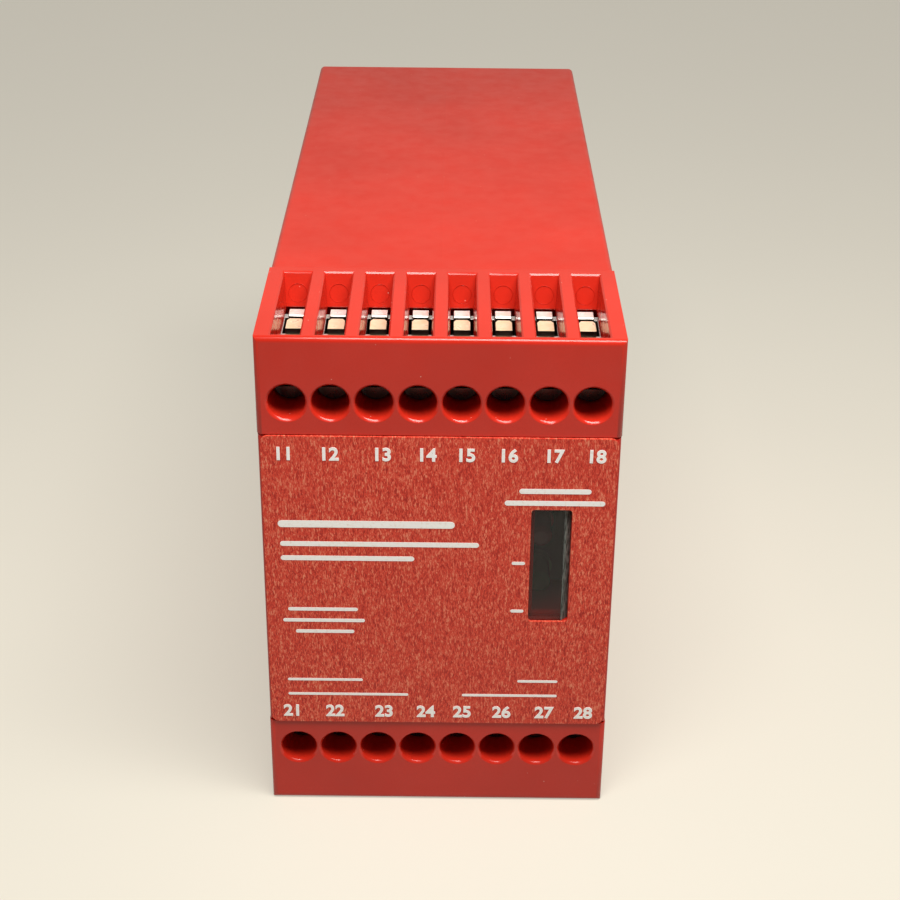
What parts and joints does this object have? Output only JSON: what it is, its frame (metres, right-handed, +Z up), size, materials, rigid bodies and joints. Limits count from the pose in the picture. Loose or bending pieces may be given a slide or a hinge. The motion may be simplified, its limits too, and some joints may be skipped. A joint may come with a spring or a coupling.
{
  "type": "safety relay",
  "caption": "Rail-mounted safety relay in a deep moulded case, with a terminal block above and below a label plate and a small lamp window.",
  "frame": {"origin": "centre of the case's outline, on the plane of its underside", "axes": "+X right seen from the front, +Y to the back, towards the mounting rail, +Z up"},
  "size_m": [0.045, 0.118, 0.0691],
  "materials": {
    "red_moulding": "satin moulded plastic",
    "red_label": "fine brushed grain",
    "smoked_lens": "smoked, clear",
    "board_laminate": "satin",
    "red_lamp": "diffused",
    "green_lamp": "diffused",
    "tinned_brass": "tinned",
    "plated_steel": "nickel plated",
    "relay_case": "gloss",
    "capacitor_sleeve": "gloss sleeve",
    "dark_case": "matte",
    "varistor_coat": "dipped coat",
    "spring_steel": "bare wire",
    "dark_latch": "satin moulded plastic"
  },
  "bodies": {
    "case": {"main_housing": "red_moulding", "rear_base": "red_moulding", "front_cover": "red_moulding", "label_plate": "red_label", "window_lens": "smoked_lens", "indicator_board": "board_laminate", "power_lamp": "red_lamp", "output_lamp": "green_lamp", "top_terminal_block": "red_moulding", "bottom_terminal_block": "red_moulding", "top_busbars": "tinned_brass", "bottom_busbars": "tinned_brass", "upper_board": "board_laminate", "lower_board": "board_laminate", "guided_relay_1": "relay_case", "guided_relay_2": "relay_case", "supply_capacitor": "capacitor_sleeve", "supply_fuse": "dark_case", "varistor": "varistor_coat", "bridge_rectifier": "dark_case", "link_header": "dark_case", "latch_spring": "spring_steel"},
    "latch": {"foot_latch": "dark_latch"},
    "top_screw_1_body": {"top_screw_1": "plated_steel"},
    "top_cage_1_body": {"top_cage_1": "plated_steel"},
    "top_screw_2_body": {"top_screw_2": "plated_steel"},
    "top_cage_2_body": {"top_cage_2": "plated_steel"},
    "top_screw_3_body": {"top_screw_3": "plated_steel"},
    "top_cage_3_body": {"top_cage_3": "plated_steel"},
    "top_screw_4_body": {"top_screw_4": "plated_steel"},
    "top_cage_4_body": {"top_cage_4": "plated_steel"},
    "top_screw_5_body": {"top_screw_5": "plated_steel"},
    "top_cage_5_body": {"top_cage_5": "plated_steel"},
    "top_screw_6_body": {"top_screw_6": "plated_steel"},
    "top_cage_6_body": {"top_cage_6": "plated_steel"},
    "top_screw_7_body": {"top_screw_7": "plated_steel"},
    "top_cage_7_body": {"top_cage_7": "plated_steel"},
    "top_screw_8_body": {"top_screw_8": "plated_steel"},
    "top_cage_8_body": {"top_cage_8": "plated_steel"},
    "bottom_screw_1_body": {"bottom_screw_1": "plated_steel"},
    "bottom_cage_1_body": {"bottom_cage_1": "plated_steel"},
    "bottom_screw_2_body": {"bottom_screw_2": "plated_steel"},
    "bottom_cage_2_body": {"bottom_cage_2": "plated_steel"},
    "bottom_screw_3_body": {"bottom_screw_3": "plated_steel"},
    "bottom_cage_3_body": {"bottom_cage_3": "plated_steel"},
    "bottom_screw_4_body": {"bottom_screw_4": "plated_steel"},
    "bottom_cage_4_body": {"bottom_cage_4": "plated_steel"},
    "bottom_screw_5_body": {"bottom_screw_5": "plated_steel"},
    "bottom_cage_5_body": {"bottom_cage_5": "plated_steel"},
    "bottom_screw_6_body": {"bottom_screw_6": "plated_steel"},
    "bottom_cage_6_body": {"bottom_cage_6": "plated_steel"},
    "bottom_screw_7_body": {"bottom_screw_7": "plated_steel"},
    "bottom_cage_7_body": {"bottom_cage_7": "plated_steel"},
    "bottom_screw_8_body": {"bottom_screw_8": "plated_steel"},
    "bottom_cage_8_body": {"bottom_cage_8": "plated_steel"}
  },
  "joints": [
    {"name": "foot_latch_slide", "type": "slide", "parent": "case", "child": "latch", "axis": [0, 0, -1], "range_m": [0, 0.004], "stiffness_N_per_m": 1500, "springref_m": -0.0025, "deforming": ["latch_spring"]},
    {"name": "top_screw_1_turn", "type": "hinge", "parent": "case", "child": "top_screw_1_body", "pos_m": [-0.01869, -0.0535, 0.06045], "axis": [0, 1, 0], "range_deg": [-1000, 940]},
    {"name": "top_cage_1_slide", "type": "slide", "parent": "case", "child": "top_cage_1_body", "axis": [0, -1, 0], "range_m": [-0.00138, 0.0013]},
    {"name": "top_screw_2_turn", "type": "hinge", "parent": "case", "child": "top_screw_2_body", "pos_m": [-0.01335, -0.0535, 0.06045], "axis": [0, 1, 0], "range_deg": [-1000, 940]},
    {"name": "top_cage_2_slide", "type": "slide", "parent": "case", "child": "top_cage_2_body", "axis": [0, -1, 0], "range_m": [-0.00138, 0.0013]},
    {"name": "top_screw_3_turn", "type": "hinge", "parent": "case", "child": "top_screw_3_body", "pos_m": [-0.00801, -0.0535, 0.06045], "axis": [0, 1, 0], "range_deg": [-1000, 940]},
    {"name": "top_cage_3_slide", "type": "slide", "parent": "case", "child": "top_cage_3_body", "axis": [0, -1, 0], "range_m": [-0.00138, 0.0013]},
    {"name": "top_screw_4_turn", "type": "hinge", "parent": "case", "child": "top_screw_4_body", "pos_m": [-0.00267, -0.0535, 0.06045], "axis": [0, 1, 0], "range_deg": [-1000, 940]},
    {"name": "top_cage_4_slide", "type": "slide", "parent": "case", "child": "top_cage_4_body", "axis": [0, -1, 0], "range_m": [-0.00138, 0.0013]},
    {"name": "top_screw_5_turn", "type": "hinge", "parent": "case", "child": "top_screw_5_body", "pos_m": [0.00267, -0.0535, 0.06045], "axis": [0, 1, 0], "range_deg": [-1000, 940]},
    {"name": "top_cage_5_slide", "type": "slide", "parent": "case", "child": "top_cage_5_body", "axis": [0, -1, 0], "range_m": [-0.00138, 0.0013]},
    {"name": "top_screw_6_turn", "type": "hinge", "parent": "case", "child": "top_screw_6_body", "pos_m": [0.00801, -0.0535, 0.06045], "axis": [0, 1, 0], "range_deg": [-1000, 940]},
    {"name": "top_cage_6_slide", "type": "slide", "parent": "case", "child": "top_cage_6_body", "axis": [0, -1, 0], "range_m": [-0.00138, 0.0013]},
    {"name": "top_screw_7_turn", "type": "hinge", "parent": "case", "child": "top_screw_7_body", "pos_m": [0.01335, -0.0535, 0.06045], "axis": [0, 1, 0], "range_deg": [-1000, 940]},
    {"name": "top_cage_7_slide", "type": "slide", "parent": "case", "child": "top_cage_7_body", "axis": [0, -1, 0], "range_m": [-0.00138, 0.0013]},
    {"name": "top_screw_8_turn", "type": "hinge", "parent": "case", "child": "top_screw_8_body", "pos_m": [0.01869, -0.0535, 0.06045], "axis": [0, 1, 0], "range_deg": [-1000, 940]},
    {"name": "top_cage_8_slide", "type": "slide", "parent": "case", "child": "top_cage_8_body", "axis": [0, -1, 0], "range_m": [-0.00138, 0.0013]},
    {"name": "bottom_screw_1_turn", "type": "hinge", "parent": "case", "child": "bottom_screw_1_body", "pos_m": [-0.01869, -0.0535, 0.00865], "axis": [0, 1, 0], "range_deg": [-1000, 940]},
    {"name": "bottom_cage_1_slide", "type": "slide", "parent": "case", "child": "bottom_cage_1_body", "axis": [0, -1, 0], "range_m": [-0.00138, 0.0013]},
    {"name": "bottom_screw_2_turn", "type": "hinge", "parent": "case", "child": "bottom_screw_2_body", "pos_m": [-0.01335, -0.0535, 0.00865], "axis": [0, 1, 0], "range_deg": [-1000, 940]},
    {"name": "bottom_cage_2_slide", "type": "slide", "parent": "case", "child": "bottom_cage_2_body", "axis": [0, -1, 0], "range_m": [-0.00138, 0.0013]},
    {"name": "bottom_screw_3_turn", "type": "hinge", "parent": "case", "child": "bottom_screw_3_body", "pos_m": [-0.00801, -0.0535, 0.00865], "axis": [0, 1, 0], "range_deg": [-1000, 940]},
    {"name": "bottom_cage_3_slide", "type": "slide", "parent": "case", "child": "bottom_cage_3_body", "axis": [0, -1, 0], "range_m": [-0.00138, 0.0013]},
    {"name": "bottom_screw_4_turn", "type": "hinge", "parent": "case", "child": "bottom_screw_4_body", "pos_m": [-0.00267, -0.0535, 0.00865], "axis": [0, 1, 0], "range_deg": [-1000, 940]},
    {"name": "bottom_cage_4_slide", "type": "slide", "parent": "case", "child": "bottom_cage_4_body", "axis": [0, -1, 0], "range_m": [-0.00138, 0.0013]},
    {"name": "bottom_screw_5_turn", "type": "hinge", "parent": "case", "child": "bottom_screw_5_body", "pos_m": [0.00267, -0.0535, 0.00865], "axis": [0, 1, 0], "range_deg": [-1000, 940]},
    {"name": "bottom_cage_5_slide", "type": "slide", "parent": "case", "child": "bottom_cage_5_body", "axis": [0, -1, 0], "range_m": [-0.00138, 0.0013]},
    {"name": "bottom_screw_6_turn", "type": "hinge", "parent": "case", "child": "bottom_screw_6_body", "pos_m": [0.00801, -0.0535, 0.00865], "axis": [0, 1, 0], "range_deg": [-1000, 940]},
    {"name": "bottom_cage_6_slide", "type": "slide", "parent": "case", "child": "bottom_cage_6_body", "axis": [0, -1, 0], "range_m": [-0.00138, 0.0013]},
    {"name": "bottom_screw_7_turn", "type": "hinge", "parent": "case", "child": "bottom_screw_7_body", "pos_m": [0.01335, -0.0535, 0.00865], "axis": [0, 1, 0], "range_deg": [-1000, 940]},
    {"name": "bottom_cage_7_slide", "type": "slide", "parent": "case", "child": "bottom_cage_7_body", "axis": [0, -1, 0], "range_m": [-0.00138, 0.0013]},
    {"name": "bottom_screw_8_turn", "type": "hinge", "parent": "case", "child": "bottom_screw_8_body", "pos_m": [0.01869, -0.0535, 0.00865], "axis": [0, 1, 0], "range_deg": [-1000, 940]},
    {"name": "bottom_cage_8_slide", "type": "slide", "parent": "case", "child": "bottom_cage_8_body", "axis": [0, -1, 0], "range_m": [-0.00138, 0.0013]}
  ],
  "couplings": [
    {"joint": "top_screw_1_turn", "follows": "top_cage_1_slide", "rad_per_m": 12566},
    {"joint": "top_screw_2_turn", "follows": "top_cage_2_slide", "rad_per_m": 12566},
    {"joint": "top_screw_3_turn", "follows": "top_cage_3_slide", "rad_per_m": 12566},
    {"joint": "top_screw_4_turn", "follows": "top_cage_4_slide", "rad_per_m": 12566},
    {"joint": "top_screw_5_turn", "follows": "top_cage_5_slide", "rad_per_m": 12566},
    {"joint": "top_screw_6_turn", "follows": "top_cage_6_slide", "rad_per_m": 12566},
    {"joint": "top_screw_7_turn", "follows": "top_cage_7_slide", "rad_per_m": 12566},
    {"joint": "top_screw_8_turn", "follows": "top_cage_8_slide", "rad_per_m": 12566},
    {"joint": "bottom_screw_1_turn", "follows": "bottom_cage_1_slide", "rad_per_m": 12566},
    {"joint": "bottom_screw_2_turn", "follows": "bottom_cage_2_slide", "rad_per_m": 12566},
    {"joint": "bottom_screw_3_turn", "follows": "bottom_cage_3_slide", "rad_per_m": 12566},
    {"joint": "bottom_screw_4_turn", "follows": "bottom_cage_4_slide", "rad_per_m": 12566},
    {"joint": "bottom_screw_5_turn", "follows": "bottom_cage_5_slide", "rad_per_m": 12566},
    {"joint": "bottom_screw_6_turn", "follows": "bottom_cage_6_slide", "rad_per_m": 12566},
    {"joint": "bottom_screw_7_turn", "follows": "bottom_cage_7_slide", "rad_per_m": 12566},
    {"joint": "bottom_screw_8_turn", "follows": "bottom_cage_8_slide", "rad_per_m": 12566}
  ]
}
